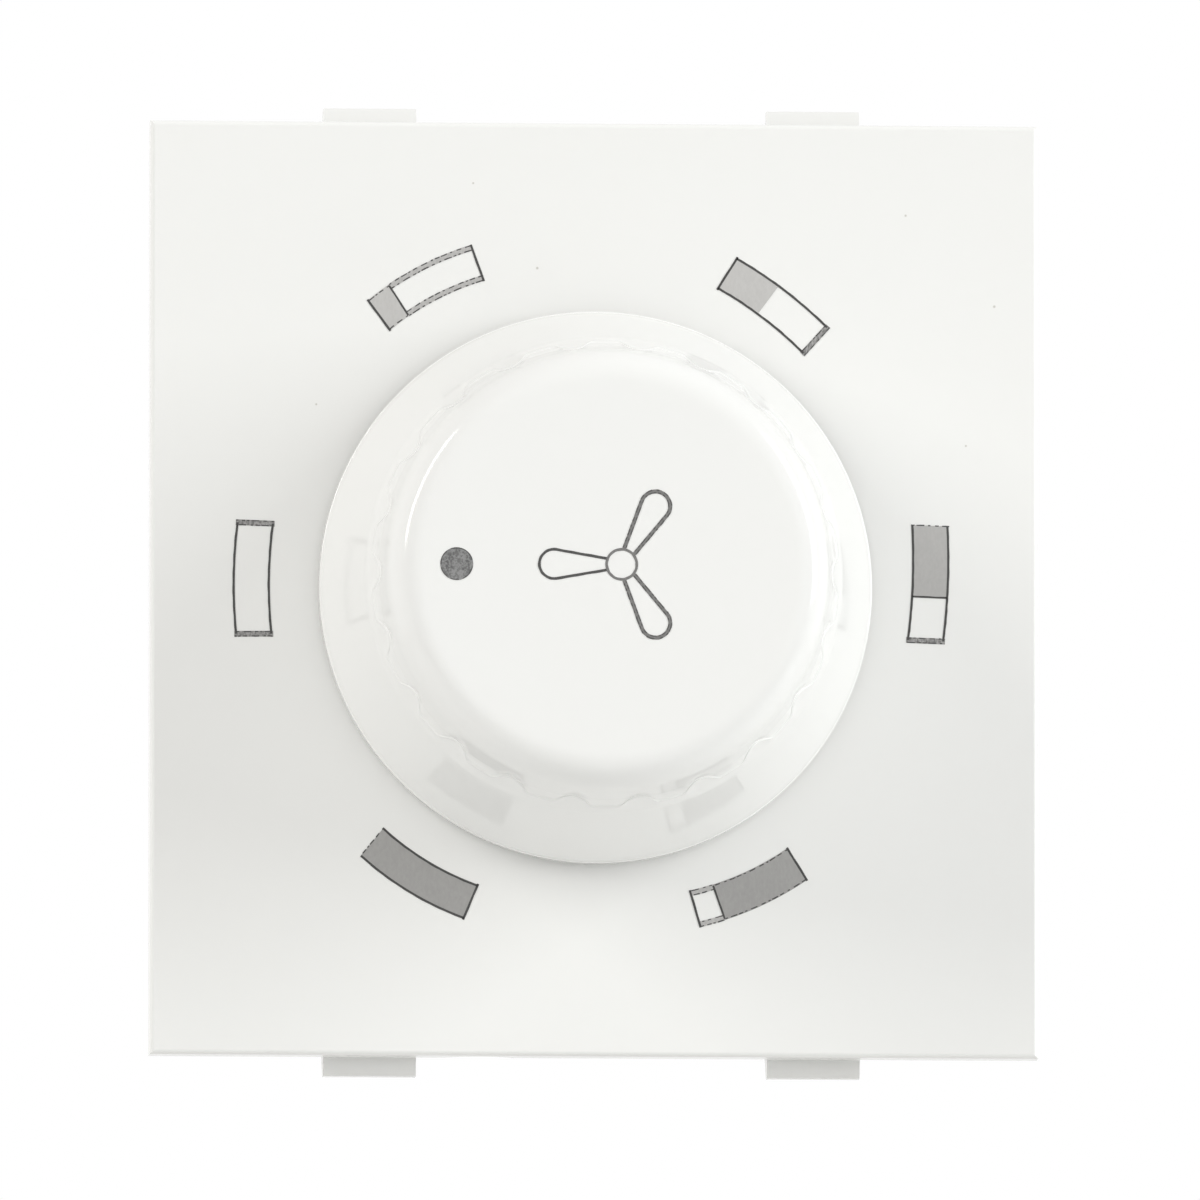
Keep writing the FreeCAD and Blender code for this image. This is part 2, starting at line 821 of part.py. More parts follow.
def terminal_top():
    """The z of the terminal plate's upper edge."""
    return -terminal_drop + terminal_height / 2


def terminal_tail(side, gap):
    """The tail that goes through the board, or the slot for it."""
    x = side * terminal_place
    half = terminal_tail_width / 2 + gap
    z1 = terminal_top() + gap
    z0 = terminal_top() - terminal_thickness - gap
    return block(x - half, x + half, board_front - lead_stick_out, board_back, z0, z1)


def make_terminal(side):
    """A bent brass strip: clamp plate with a threaded collar, and a leg to the board."""
    x = side * terminal_place
    half = terminal_width / 2
    top = terminal_top()
    low = top - terminal_height
    y0 = terminal_face - terminal_thickness
    plate = block(x - half, x + half, y0, terminal_face, low, top)
    leg = block(x - half, x + half, board_back, terminal_face, top - terminal_thickness, top)
    strip = fused([plate, leg])
    outer_bend = edges_where(
        strip, lambda edge, middle: near(middle.y, terminal_face) and near(middle.z, top)
    )
    strip = strip.makeFillet(terminal_thickness + terminal_bend, outer_bend)
    inner_bend = edges_where(
        strip, lambda edge, middle: near(middle.y, y0) and near(middle.z, top - terminal_thickness)
    )
    strip = strip.makeFillet(terminal_bend, inner_bend)
    collar = rod(collar_radius, y0 - collar_length, y0, x, -terminal_drop)
    body = fused([strip, collar, terminal_tail(side, 0)])
    hole = rod(screw_radius + running_gap, y0 - collar_length, terminal_face, x, -terminal_drop)
    return body.cut(hole)


def make_clamp_washer(side):
    """A square washer under the screw's head."""
    x = side * terminal_place
    half = clamp_side / 2
    z = -terminal_drop
    body = block(x - half, x + half, clamp_face, head_face, z - half, z + half)
    corners = edges_where(body, lambda edge, middle: near(middle.y, (clamp_face + head_face) / 2))
    body = body.makeChamfer(clamp_corner, corners)
    return body.cut(rod(screw_radius + loose_gap, clamp_face, head_face, x, z))


def make_terminal_screw(side):
    """A slotted cheese-head screw, backed out so that a wire goes in."""
    x = side * terminal_place
    z = -terminal_drop
    head_back = head_face + screw_head_height
    head = rod(screw_head_radius, head_face, head_back, x, z)
    crown = edges_where(head, lambda edge, middle: near(middle.y, head_back))
    head = head.makeChamfer(screw_head_chamfer, crown)
    slot = block(
        x - screw_head_radius,
        x + screw_head_radius,
        head_back - screw_slot_depth,
        head_back,
        z - screw_slot_width / 2,
        z + screw_slot_width / 2,
    )
    shank = rod(screw_radius, head_face - screw_length, head_face, x, z)
    return fused([head.cut(slot), shank])


def snap_lug(side, z):
    """A wedge on the housing's side that snaps into a window of the skirt."""
    y0 = housing_front + snap_inset
    y1 = y0 + snap_length
    x0 = housing_x - housing_wall / 2
    x1 = housing_x + snap_height
    profile = [
        (x0, y0),
        (housing_x, y0),
        (x1, (y0 + y1) / 2),
        (x1, y1),
        (x0, y1),
    ]
    points = [V(side * x, y, z - snap_width / 2) for x, y in profile]
    outline = Part.makePolygon(points + points[:1])
    return Part.Face(outline).extrude(V(0, 0, snap_width))


def make_rear_housing():
    box = block(-housing_x, housing_x, housing_front, housing_back, -housing_z, housing_z)
    corners = edges_where(
        box, lambda edge, middle: near(abs(middle.x), housing_x) and near(abs(middle.z), housing_z)
    )
    box = box.makeFillet(housing_edge_round, corners)
    back_rim = edges_where(box, lambda edge, middle: near(middle.y, housing_back))
    box = box.makeChamfer(housing_back_chamfer, back_rim)
    cavity = block(-cavity_x, cavity_x, housing_front, cavity_back, -cavity_z, cavity_z)
    pieces = [box.cut(cavity)]
    for x in (-1, 1):
        for z in (-1, 1):
            x0, x1 = sorted((x * (cavity_x - corner_post), x * cavity_x))
            z0, z1 = sorted((z * (cavity_z - corner_post), z * cavity_z))
            pieces.append(block(x0, x1, board_back, cavity_back, z0, z1))
            pieces.append(snap_lug(x, z * snap_place))
    bay_front = board_back + bay_front_gap
    pieces.append(
        block(-cavity_x, cavity_x, bay_front, cavity_back, -bay_ceiling_drop, bay_top)
    )
    pieces.append(
        block(-bay_wall / 2, bay_wall / 2, bay_front, cavity_back, -cavity_z, -bay_ceiling_drop)
    )
    cuts = []
    entry_y0 = terminal_face - entry_margin
    entry_y1 = clamp_face + entry_margin
    for side in (-1, 1):
        x = side * terminal_place
        z = -terminal_drop
        cuts.append(rod(driver_hole_radius, cavity_back, housing_back, x, z))
        half = entry_width / 2
        cuts.append(
            block(x - half, x + half, entry_y0, entry_y1, -housing_z - fin_gap, -cavity_z)
        )
    for i in range(vent_count):
        x = (i - (vent_count - 1) / 2) * vent_pitch
        y0 = board_back + vent_front_gap
        y1 = y0 + vent_length
        cuts.append(
            block(x - vent_width / 2, x + vent_width / 2, y0, y1, cavity_z, housing_z + fin_gap)
        )
    return fused(pieces).cut(cuts)


os.makedirs("parts", exist_ok=True)
save("front_plate", make_front_plate())
save("knob", make_knob())
save("knob_clip", make_knob_clip())
save("rotor", make_rotor())
save("wiper", make_wiper())
save("thrust_washer", make_thrust_washer())
save("switch_cover", make_switch_cover())
save("switch_base", make_switch_base())
save("detent_spring", make_detent_spring())
for number, angle in enumerate(contact_places(), start=1):
    save("speed_contact_%d" % number, make_speed_contact(angle))
save("common_contact", make_common_contact())
save("switch_screws", make_switch_screws())
save("circuit_board", make_circuit_board())
for index in range(len(capacitor_margins)):
    save("capacitor_%d" % (index + 1), make_capacitor(index))
for number, place in enumerate(surge_resistor_places(), start=1):
    save("surge_resistor_%d" % number, make_surge_resistor(place))
for number, place in enumerate(bleed_resistor_places(), start=1):
    save("bleed_resistor_%d" % number, make_bleed_resistor(place))
for side, word in ((-1, "left"), (1, "right")):
    save("terminal_" + word, make_terminal(side))
    save("clamp_washer_" + word, make_clamp_washer(side))
    save("terminal_screw_" + word, make_terminal_screw(side))
save("rear_housing", make_rear_housing())
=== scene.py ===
import math

import bmesh
import bpy
from mathutils import Matrix, Vector
from mathutils.geometry import interpolate_bezier


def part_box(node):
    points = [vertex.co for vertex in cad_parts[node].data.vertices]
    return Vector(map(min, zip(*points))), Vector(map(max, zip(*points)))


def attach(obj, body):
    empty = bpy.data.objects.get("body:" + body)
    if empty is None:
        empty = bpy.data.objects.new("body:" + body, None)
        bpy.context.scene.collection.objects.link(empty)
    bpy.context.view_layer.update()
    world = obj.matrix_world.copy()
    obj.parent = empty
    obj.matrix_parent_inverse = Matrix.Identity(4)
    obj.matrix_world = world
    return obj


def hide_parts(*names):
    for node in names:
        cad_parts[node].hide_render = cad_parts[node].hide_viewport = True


# Fan speed control switch. The front looks along -Y and +X is on the right seen from the front.
# Lengths are millimetres, turned into metres by MM. Angles are anticlockwise seen from the front.

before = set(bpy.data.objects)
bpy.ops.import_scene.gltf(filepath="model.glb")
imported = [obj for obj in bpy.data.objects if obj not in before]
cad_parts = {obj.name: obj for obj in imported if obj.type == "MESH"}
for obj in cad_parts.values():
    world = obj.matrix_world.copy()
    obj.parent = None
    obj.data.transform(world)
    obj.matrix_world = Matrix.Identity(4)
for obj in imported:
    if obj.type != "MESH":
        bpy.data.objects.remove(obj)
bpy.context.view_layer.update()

MM = 0.001

# The front plate and the knob as the frame gives them
plate_low, plate_high = (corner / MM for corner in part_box("front_plate"))
knob_low, knob_high = (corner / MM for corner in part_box("knob"))
face_y = plate_low.y
knob_top_y = knob_low.y
rim_radius = knob_high.x
knob_height = face_y - knob_top_y

# Specks in the plate's face: place across, place up, radius
plate_specks = [
    (-2.9, 16.3, 0.09),
    (-6.15, 20.6, 0.07),
    (15.8, 19.1, 0.08),
    (20.3, 14.5, 0.09),
    (-14.1, 9.3, 0.07),
    (18.85, 7.4, 0.07),
]

# Half lengths of the resistors' bodies, past which their leads start
ceramic_half_length = 4.3
lacquered_half_length = 3.0

# Knob: heights are counted from the plate's face
rim_lift = 0.4
rim_top = 1.2
rim_edge_round = 0.12
rim_bead = 0.08
skirt_top_radius = 11.95
skirt_height = 7.8
grip_radius = 11.72
grip_top_radius = 11.22
foot_slope = 1.8
foot_lip_width = 0.09
foot_lip_height = 0.085
top_round = 1.85
top_round_fullness = 0.7
flute_count = 22
flute_radius = 1.4
flute_depth = 0.35
flute_edge_blend = 0.14
columns_per_flute = 24
sharp_angle = 28.0
pointer_angle = 180.0
hollow_radius = 11.6
hollow_height = 5.5
upper_hollow_radius = 9.9
upper_hollow_height = 10.7
hub_radius = 4.6
hub_lift = 1.0
bore_radius = 3.05
bore_flat = 1.55
clip_pocket_half = 1.8
clip_pocket_top = 2.0
rib_count = 6
rib_width = 0.9
rib_lift = 5.0

# Print: how far the ink stands off the plastic, and the widths of its lines
ink_height = 0.016
line_width = 0.115
screen_width = 0.29
dash_width = 0.06
line_wobble = 0.007
corner_overrun = 0.09
screen_inset = 0.07

# Gauge marks: bent bars round the knob, one for each speed, filled further clockwise. For each:
# angle and radius of its middle, half its length, bend of its long sides, angle between its
# ends, tilt, fill.
gauge_centre = (-0.16, 0.15)
gauge_half_width = 0.89
gauge_marks = [
    (179.05, 17.23, 2.82, 24.0, 2.4, 0.2, 0.0),
    (118.8, 17.45, 2.85, 14.5, 16.4, -0.4, 0.22),
    (57.3, 17.12, 2.8, 21.0, 9.9, -4.4, 0.44),
    (0.83, 17.2, 2.93, 32.0, 0.0, -3.0, 0.62),
    (-62.75, 17.37, 2.84, 15.5, 15.5, -3.3, 0.78),
    (-120.6, 17.2, 2.93, 15.0, 16.0, -0.4, 1.0),
]
bare_boundary_mark = 2

# Fan picture and pointer dot on the knob's top
fan_centre = (0.56, 0.12)
fan_hub_radius = 0.76
fan_blade_reach = 3.41
fan_blade_end_radius = 0.74
fan_blade_root_half = 0.29
fan_blade_angles = (180, 60, -60)
fan_line_width = 0.135
fan_broad_width = 0.2
dot_centre = (-7.75, 0.1)
dot_radius = 0.86

# Camera
view_azimuth = -3.9
view_elevation = -5.4
view_distance = 1900.0
view_lens = 1127.0
aim_right = 0.283
aim_up = -0.551

# Light: each lamp's angles round the knob's axis and off it, and its share of the plate's light
lamp_distance = 1200.0
left_lamp = {"azimuth": 149.5, "off_axis": 65.0, "width": 670.0, "height": 180.0, "share": 0.178}
right_lamp = {"azimuth": 20.0, "off_axis": 67.0, "width": 880.0, "height": 420.0, "share": 0.24}
left_tint = (1.0, 0.99, 0.955)
right_tint = (0.98, 1.0, 1.0)
ambient_low = 0.465
ambient_high = 0.585
floor_drop = 350.0
floor_half = 1500.0


class Value:
    """An output of a shader node. Arithmetic on values adds Math nodes to their graph."""

    def __init__(self, graph, output):
        self.graph = graph
        self.output = output

    def also(self, name):
        """Another output of the same node."""
        return Value(self.graph, self.output.node.outputs[name])

    def math(self, operation, *others):
        """What a Math node makes of this value and others."""
        inputs = dict(enumerate((self,) + others))
        return self.graph.add("ShaderNodeMath", {"operation": operation}, inputs)

    def __add__(self, other):
        return self.math("ADD", other)

    __radd__ = __add__

    def __sub__(self, other):
        return self.math("SUBTRACT", other)

    def __rsub__(self, other):
        return (self * -1) + other

    def __mul__(self, other):
        return self.math("MULTIPLY", other)

    __rmul__ = __mul__

    def __truediv__(self, other):
        return self.math("DIVIDE", other)

    def __gt__(self, other):
        return self.math("GREATER_THAN", other)

    def __lt__(self, other):
        return self.math("LESS_THAN", other)

    def clamped(self):
        """The value kept between 0 and 1."""
        return self.math("MAXIMUM", 0.0).math("MINIMUM", 1.0)

    def ramp(self, low, high):
        """0 at low, 1 at high and straight between."""
        return ((self - low) / (high - low)).clamped()


class Graph:
    """A tree of shader nodes, and the one way to add a node to it."""

    def __init__(self, tree):
        self.tree = tree

    def add(self, kind, settings, inputs, output=0):
        """A node of a kind: its settings first, then what its sockets hold or are linked to."""
        node = self.tree.nodes.new(kind)
        for setting, value in settings.items():
            if setting == "stops":
                self.set_stops(node.color_ramp, value)
            else:
                setattr(node, setting, value)
        for socket, value in inputs.items():
            if isinstance(value, Value):
                self.tree.links.new(value.output, node.inputs[socket])
            else:
                node.inputs[socket].default_value = value
        if node.outputs:
            return Value(self, node.outputs[output])

    def set_stops(self, ramp, stops):
        """Gives a colour ramp its (place, colour) stops."""
        while len(ramp.elements) < len(stops):
            ramp.elements.new(1.0)
        for element, (place, colour) in zip(ramp.elements, stops):
            element.position = place
            element.color = colour

    def parts(self, vector):
        """A vector's three numbers."""
        first = self.add("ShaderNodeSeparateXYZ", {}, {0: vector})
        return [first, first.also("Y"), first.also("Z")]

    def seen_directly(self):
        """1 for the camera and for what glossy and clear surfaces show, 0 for other light."""
        ray = self.add("ShaderNodeLightPath", {}, {}, "Is Camera Ray")
        return (ray + ray.also("Is Glossy Ray") + ray.also("Is Transmission Ray")).clamped()


class Finish(Graph):
    """A material with one principled shader."""

    def __init__(self, name, **constants):
        self.material = bpy.data.materials.new(name)
        self.material.use_nodes = True
        super().__init__(self.material.node_tree)
        self.shader = self.tree.nodes["Principled BSDF"]
        for socket, value in constants.items():
            self.shader.inputs[socket.replace("_", " ")].default_value = value

    def feed(self, **links):
        """Links values to the shader's own sockets."""
        for socket, value in links.items():
            self.tree.links.new(value.output, self.shader.inputs[socket.replace("_", " ")])

    def place(self):
        """The point on the piece, in millimetres of the row frame."""
        point = self.add("ShaderNodeTexCoord", {}, {}, "Object")
        return self.add("ShaderNodeVectorMath", {"operation": "SCALE"}, {0: point, "Scale": 1 / MM})

    def stretched(self, vector, factors):
        """A vector with each number multiplied by a factor of its own."""
        return self.add("ShaderNodeVectorMath", {"operation": "MULTIPLY"}, {0: vector, 1: factors})

    def noise(self, vector, scale, detail=2.0, roughness=0.5):
        """Smooth noise from 0 to 1, with its scale in waves for each millimetre."""
        inputs = {"Vector": vector, "Scale": scale, "Detail": detail, "Roughness": roughness}
        return self.add("ShaderNodeTexNoise", {"noise_dimensions": "3D"}, inputs, 0)

    def cells(self, vector, scale):
        """The distance to the nearest of many scattered points."""
        return self.add("ShaderNodeTexVoronoi", {}, {"Vector": vector, "Scale": scale}, "Distance")

    def distance(self, vector, point):
        """How far a vector is from a point."""
        return self.add(
            "ShaderNodeVectorMath", {"operation": "DISTANCE"}, {0: vector, 1: point}, "Value"
        )

    def mixed(self, factor, first, second):
        """A colour between two colours."""
        inputs = {0: factor, 6: first, 7: second}
        return self.add("ShaderNodeMix", {"data_type": "RGBA"}, inputs, 2)

    def bump(self, height, strength=1.0):
        """Feeds a relief whose height is in millimetres."""
        normal = self.add(
            "ShaderNodeBump", {}, {"Strength": strength, "Distance": MM, "Height": height}
        )
        self.feed(Normal=normal)


def colour(red, green, blue):
    """An opaque colour."""
    return (red, green, blue, 1.0)


# Finishes


def plate_plastic():
    """Glossy white moulding with the few dark specks that show in its face."""
    finish = Finish("plate_gloss_white", Roughness=0.16, IOR=1.49)
    point = finish.place()
    cloud = finish.noise(point, 0.06, 2.0)
    base = finish.mixed(cloud, colour(0.868, 0.868, 0.852), colour(0.88, 0.88, 0.866))
    x, y, z = finish.parts(point)
    flat = finish.add("ShaderNodeCombineXYZ", {}, {0: x, 2: z})
    near_face = y < face_y + 0.1
    shade = sum(
        1 - finish.distance(flat, (speck_x, 0.0, speck_z)).ramp(radius * 0.4, radius)
        for speck_x, speck_z, radius in plate_specks
    )
    speck_tone = colour(0.3, 0.27, 0.2)
    finish.feed(Base_Color=finish.mixed(shade * near_face * 0.45, base, speck_tone))
    peel = finish.noise(point, 0.55, 1.0)
    finish.bump(peel * 0.0009)
    return finish.material


def knob_plastic():
    """The knob's brighter, smoother white."""
    finish = Finish("knob_gloss_white", Roughness=0.12, IOR=1.49)
    point = finish.place()
    cloud = finish.noise(point, 0.08, 2.0)
    base = finish.mixed(cloud, colour(0.872, 0.872, 0.857), colour(0.884, 0.884, 0.872))
    finish.feed(Base_Color=base)
    peel = finish.noise(point, 0.45, 1.0)
    finish.bump(peel * 0.0007)
    return finish.material


def housing_plastic():
    """Satin off-white with a fine spark-eroded grain."""
    finish = Finish("housing_satin_white", IOR=1.49)
    point = finish.place()
    cloud = finish.noise(point, 0.12, 3.0)
    base = finish.mixed(cloud, colour(0.78, 0.78, 0.75), colour(0.82, 0.82, 0.795))
    finish.feed(Base_Color=base)
    grain = finish.noise(point, 7.0, 3.0, 0.6)
    finish.feed(Roughness=0.38 + grain * 0.16)
    finish.bump(grain * 0.006)
    return finish.material


def black_plastic():
    """Dark satin moulding with pale scuffs."""
    finish = Finish("switch_black", IOR=1.5)
    point = finish.place()
    grain = finish.noise(point, 6.0, 3.0, 0.6)
    scuff = finish.noise(finish.stretched(point, (0.5, 2.0, 4.0)), 0.9, 4.0, 0.7).ramp(0.6, 0.75)
    base = finish.mixed(scuff * 0.4, colour(0.045, 0.045, 0.05), colour(0.11, 0.11, 0.11))
    finish.feed(Base_Color=base)
    finish.feed(Roughness=0.4 + grain * 0.2)
    finish.bump(grain * 0.005)
    return finish.material


def nylon():
    """Creamy nylon, a little cloudy."""
    finish = Finish("rotor_nylon", IOR=1.53)
    point = finish.place()
    cloud = finish.noise(point, 0.35, 3.0)
    finish.feed(Base_Color=finish.mixed(cloud, colour(0.7, 0.66, 0.55), colour(0.8, 0.77, 0.68)))
    finish.feed(Roughness=0.36 + cloud * 0.12)
    finish.bump(finish.noise(point, 2.5, 2.0) * 0.004)
    return finish.material


def metal(name, light, dark, grain_stretch, roughness, tarnish):
    """Metal strip or wire: drawn or rolled lines, a little cloudy tarnish."""
    finish = Finish(name, Metallic=1.0)
    point = finish.place()
    lines = finish.noise(finish.stretched(point, grain_stretch), 3.0, 3.0, 0.6)
    cloud = finish.noise(point, 0.5, 4.0, 0.6).ramp(0.35, 0.75)
    finish.feed(Base_Color=finish.mixed(cloud * tarnish, light, dark))
    finish.feed(Roughness=roughness + lines * 0.16 + cloud * 0.08)
    finish.bump(lines * 0.004)
    return finish.material


def spring_steel():
    """Bright rolled spring strip."""
    light, dark = colour(0.6, 0.6, 0.61), colour(0.4, 0.39, 0.4)
    return metal("spring_steel_strip", light, dark, (0.15, 4.0, 4.0), 0.2, 0.5)


def zinc_steel():
    """Zinc with the faint yellow and blue of its passivation."""
    finish = Finish("zinc_plated_steel", Metallic=1.0)
    point = finish.place()
    drift = finish.noise(point, 0.35, 2.0)
    stops = [
        (0.3, colour(0.62, 0.64, 0.7)),
        (0.5, colour(0.7, 0.7, 0.69)),
        (0.72, colour(0.72, 0.68, 0.56)),
    ]
    finish.feed(Base_Color=finish.add("ShaderNodeValToRGB", {"stops": stops}, {0: drift}))
    pits = finish.noise(point, 5.0, 3.0, 0.65)
    finish.feed(Roughness=0.24 + pits * 0.18)
    finish.bump(pits * 0.005)
    return finish.material


def bronze():
    """Reddish contact strip."""
    light, dark = colour(0.66, 0.42, 0.24), colour(0.42, 0.26, 0.16)
    return metal("phosphor_bronze", light, dark, (4.0, 4.0, 0.2), 0.22, 0.6)


def brass():
    """Yellow stamped strip."""
    light, dark = colour(0.74, 0.57, 0.29), colour(0.5, 0.37, 0.18)
    return metal("rolled_brass", light, dark, (0.2, 4.0, 4.0), 0.22, 0.55)


def laminate():
    """Brown paper laminate with its pressed fibres, darker at the sawn edges."""
    finish = Finish("board_paper_laminate", IOR=1.5)
    point = finish.place()
    fibres = finish.noise(finish.stretched(point, (0.4, 3.0, 5.0)), 1.6, 4.0, 0.7)
    tone = finish.mixed(fibres, colour(0.36, 0.25, 0.11), colour(0.52, 0.39, 0.19))
    parts = finish.parts(point)
    board_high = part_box("circuit_board")[1] / MM
    side_edge = parts[0].math("ABSOLUTE") > board_high.x - 0.12
    end_edge = parts[2].math("ABSOLUTE") > board_high.z - 0.12
    edge = side_edge.math("MAXIMUM", end_edge)
    finish.feed(Base_Color=finish.mixed(edge * 0.5, tone, colour(0.2, 0.13, 0.06)))
    finish.feed(Roughness=0.42 + fibres * 0.2)
    finish.bump(fibres * 0.006)
    return finish.material


def capacitor_case():
    """Ochre moulded box. Its tinned leads run forwards into the board."""
    finish = Finish("capacitor_box", IOR=1.5)
    point = finish.place()
    board_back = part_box("circuit_board")[1].y / MM
    lead = finish.parts(point)[1] < board_back - 0.01
    cloud = finish.noise(point, 0.5, 3.0)
    case = finish.mixed(cloud, colour(0.66, 0.52, 0.1), colour(0.76, 0.62, 0.16))
    finish.feed(Base_Color=finish.mixed(lead, case, colour(0.68, 0.68, 0.66)))
    grain = finish.noise(point, 4.0, 3.0, 0.6)
    finish.feed(Roughness=0.3 + grain * 0.15, Metallic=lead)
    finish.bump(grain * 0.004)
    return finish.material


def resistor_body(node, name, half_length, make_tone, roughness, relief):
    """A resistor's body in its own finish, its leads tinned."""
    low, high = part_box(node)
    finish = Finish(node + "_" + name, IOR=1.5)
    point = finish.place()
    from_middle = finish.parts(point)[0] - (low + high).x / 2 / MM
    lead = from_middle.math("ABSOLUTE") > half_length + 0.01
    tone = make_tone(finish, point, from_middle)
    finish.feed(Base_Color=finish.mixed(lead, tone, colour(0.68, 0.68, 0.66)))
    grain = finish.noise(point, 5.0, 3.0, 0.6)
    finish.feed(Roughness=(roughness + grain * 0.2) * (1 - lead * 0.5), Metallic=lead)
    finish.bump(grain * relief)
    return finish.material


def ceramic_tone(finish, point, from_middle):
    """Off-white ceramic with dark pores."""
    pores = finish.cells(point, 2.2).ramp(0.0, 0.25)
    return finish.mixed(pores, colour(0.5, 0.49, 0.46), colour(0.8, 0.79, 0.75))


def lacquer_tone(finish, point, from_middle):
    """Pale blue lacquer with four code bands."""
    cloud = finish.noise(point, 0.8, 2.0)
    tone = finish.mixed(cloud, colour(0.24, 0.44, 0.5), colour(0.3, 0.52, 0.58))
    bands = [
        (-2.2, colour(0.2, 0.08, 0.03)),
        (-1.2, colour(0.02, 0.02, 0.02)),
        (-0.2, colour(0.7, 0.5, 0.04)),
        (1.9, colour(0.6, 0.42, 0.12)),
    ]
    for place, band in bands:
        on_band = (from_middle - place).math("ABSOLUTE") < 0.28
        tone = finish.mixed(on_band, tone, band)
    return tone


def ink(name, tone, rise, uneven, grain):
    """Pad-printed ink: a grey that gets paler by a rise for each millimetre up, and its grain."""
    finish = Finish(name, IOR=1.45)
    point = finish.place()
    grains = finish.noise(finish.stretched(point, (1.6, 1.0, 0.8)), grain, 2.0, 0.6)
    value = tone + finish.parts(point)[2] * rise + (grains - 0.5) * uneven
    tint = finish.add("ShaderNodeCombineColor", {}, {0: value, 1: value * 0.985, 2: value * 0.965})
    finish.feed(Base_Color=tint)
    finish.feed(Roughness=0.3 + grains * 0.2)
    return finish.material


def dot_ink():
    """The dot's ink: mid grey, thick with fine dark grains."""
    finish = Finish("ink_dot", IOR=1.45)
    point = finish.place()
    clots = finish.noise(point, 2.4, 1.0).ramp(0.4, 0.65)
    grains = finish.noise(point, 9.0, 2.0, 0.6).ramp(0.42, 0.62)
    value = 0.27 - clots * 0.04 - grains * 0.13
    finish.feed(Base_Color=finish.add("ShaderNodeCombineColor", {}, {0: value, 1: value, 2: value}))
    finish.feed(Roughness=0.35 + grains * 0.2)
    return finish.material


# Meshes


def new_piece(name, mesh_maker, materials, body):
    """A piece from a bmesh in millimetres, riding on a body."""
    mesh = bpy.data.meshes.new(name)
    mesh_maker.transform(Matrix.Scale(MM, 4))
    bmesh.ops.recalc_face_normals(mesh_maker, faces=mesh_maker.faces)
    mesh_maker.to_mesh(mesh)
    mesh_maker.free()
    piece = bpy.data.objects.new(name, mesh)
    bpy.context.scene.collection.objects.link(piece)
    for material in materials:
        mesh.materials.append(material)
    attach(piece, body)
    return piece


def softly_less(first, second, blend):
    """The smaller of two numbers, rounded off where they are nearly the same."""
    overlap = max(blend - abs(first - second), 0.0) / blend
    return min(first, second) - overlap * overlap * blend / 4


def flute_wall(turn):
    """How far out the flute cut leaves the grip, at an angle in radians from the flute's middle."""
    centre = grip_radius - flute_depth + flute_radius
    across = centre * math.sin(turn)
    if abs(across) >= flute_radius:
        return centre
    return centre * math.cos(turn) - math.sqrt(flute_radius ** 2 - across ** 2)


def bore_wall(turn):
    """The D bore's radius, with the clip's pocket along its flat."""
    rise = math.sin(turn)
    run = abs(math.cos(turn))
    reach = bore_radius
    if rise > 0:
        flat = bore_flat / rise
        if bore_flat * run / rise <= clip_pocket_half:
            pocket = clip_pocket_top / rise
            if run > 0:
                pocket = min(pocket, clip_pocket_half / run)
            flat = max(flat, pocket)
        reach = min(reach, flat)
    return reach


def arc_steps(count, start, end):
    """Angles in radians from start to end degrees."""
    return [math.radians(start + (end - start) * i / count) for i in range(count + 1)]


def grip_section():
    """The grip's section as (radius, height), from near the top's middle down to its foot."""
    wall_top = knob_height - top_round
    wall_lean = (grip_radius - grip_top_radius) / (wall_top - skirt_height)
    start = Vector((grip_top_radius - top_round, knob_height))
    corner = Vector((grip_top_radius - wall_lean * top_round, knob_height))
    end = Vector((grip_top_radius, wall_top))
    handles = [start.lerp(corner, top_round_fullness), end.lerp(corner, top_round_fullness)]
    section = [(radius, knob_height) for radius in (2.0, 4.0, 6.0, 8.0)]
    section += [(p.x, p.y) for p in interpolate_bezier(start, handles[0], handles[1], end, 21)]
    wall_foot = skirt_height + foot_slope * (skirt_top_radius - grip_radius + flute_depth)
    steps = 18
    for i in range(1, steps + 1):
        height = wall_top + (wall_foot - wall_top) * i / steps
        share = (wall_top - height) / (wall_top - skirt_height)
        section.append((grip_top_radius + (grip_radius - grip_top_radius) * share, height))
    return section


def skirt_section():
    """The section as (radius, height) from the skirt's top, round the rim and in to the hub."""
    steps = 12
    foot_radius = rim_radius - rim_bead
    foot_height = rim_top + rim_bead
    section = []
    for i in range(steps + 1):
        radius = skirt_top_radius + (foot_radius - skirt_top_radius) * i / steps
        section.append((radius, skirt_height + (foot_height - skirt_height) * i / steps))
    for turn in arc_steps(5, 80.0, 0.0):
        height = rim_top - rim_bead * (1 - math.sin(turn))
        section.append((rim_radius - rim_bead * (1 - math.cos(turn)), height))
    for turn in arc_steps(4, 0.0, -90.0):
        height = rim_lift + rim_edge_round * (1 + math.sin(turn))
        section.append((rim_radius - rim_edge_round * (1 - math.cos(turn)), height))
    return section + [
        (hollow_radius, rim_lift),
        (hollow_radius, hollow_height),
        (upper_hollow_radius, hollow_height),
        (upper_hollow_radius, upper_hollow_height),
        (hub_radius, upper_hollow_height),
        (hub_radius, hub_lift),
    ]


